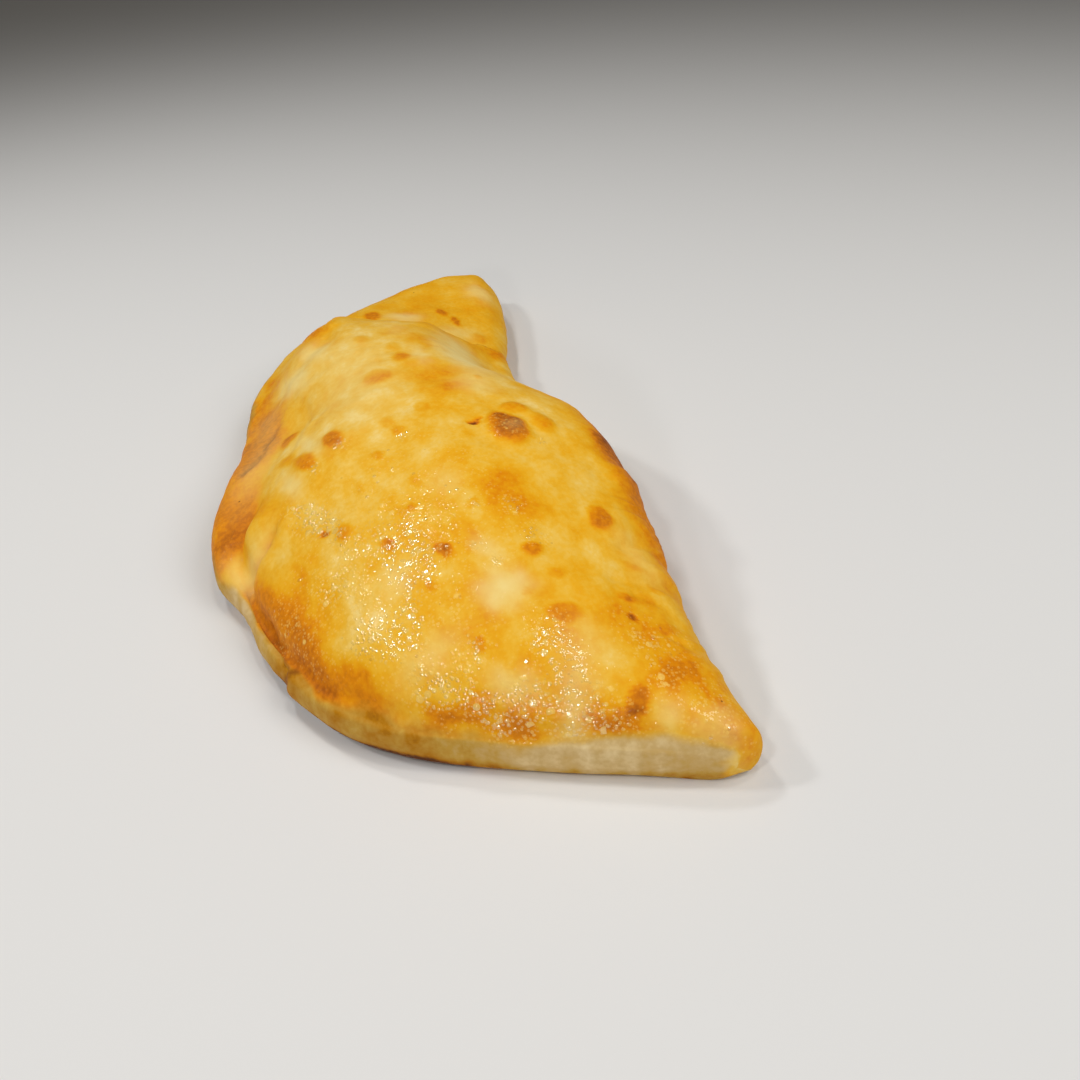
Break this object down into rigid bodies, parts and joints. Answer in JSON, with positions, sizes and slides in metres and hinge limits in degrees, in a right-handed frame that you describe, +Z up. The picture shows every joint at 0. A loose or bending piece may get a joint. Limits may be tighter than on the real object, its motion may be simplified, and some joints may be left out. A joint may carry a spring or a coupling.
{
  "type": "calzone",
  "caption": "Baked calzone: a glazed half-moon of folded pizza dough with a high domed middle, a sealed curved edge and a flat base it rests on.",
  "frame": {"origin": "centre of the flat base, at the middle of the bounding box in X and Y", "axes": "+X along the straight fold towards the plain corner, -Y towards the sealed curved edge, +Z up from the base"},
  "size_m": [0.3, 0.1347, 0.0463],
  "materials": {
    "crust": "golden egg-washed bread crust with browned patches, pale unbrowned side wall"
  },
  "bodies": {
    "root": {"calzone": "crust"}
  },
  "joints": []
}
